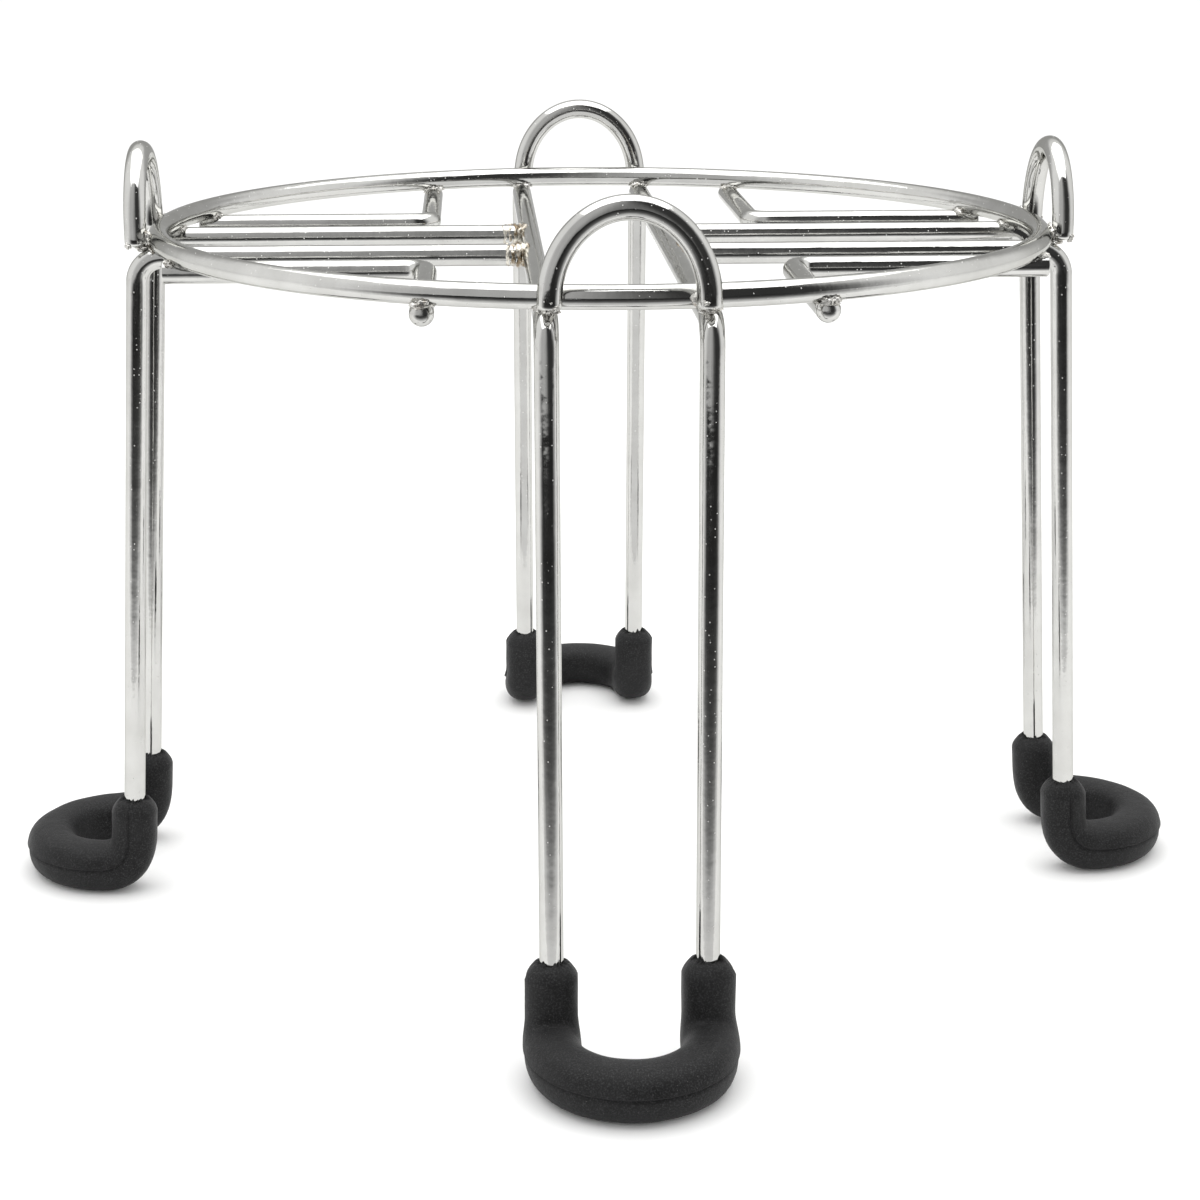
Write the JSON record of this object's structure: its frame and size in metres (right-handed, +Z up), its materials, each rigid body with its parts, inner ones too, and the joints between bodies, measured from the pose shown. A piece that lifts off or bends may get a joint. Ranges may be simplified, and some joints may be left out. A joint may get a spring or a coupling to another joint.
{
  "type": "round wire stand",
  "caption": "Raised round chrome wire stand: a welded ring and open wire shelf on paired hairpin legs, with upright guard loops and rubber feet.",
  "frame": {"origin": "on the floor, under the middle of the ring", "axes": "+Z up, -Y towards the front leg, +X towards the right leg"},
  "size_m": [0.3192, 0.3192, 0.1998],
  "materials": {
    "chrome_wire": "bright plated round wire with fine drawing marks",
    "foot_rubber": "matt moulded rubber with a parting line"
  },
  "bodies": {
    "root": {"ring": "chrome_wire", "leg_frame_front_back": "chrome_wire", "leg_left": "chrome_wire", "leg_right": "chrome_wire", "angle_wire_front_left": "chrome_wire", "angle_wire_front_right": "chrome_wire", "angle_wire_back_left": "chrome_wire", "angle_wire_back_right": "chrome_wire", "guard_loop_front": "chrome_wire", "guard_loop_right": "chrome_wire", "guard_loop_back": "chrome_wire", "guard_loop_left": "chrome_wire", "foot_front": "foot_rubber", "foot_right": "foot_rubber", "foot_back": "foot_rubber", "foot_left": "foot_rubber"}
  },
  "joints": []
}
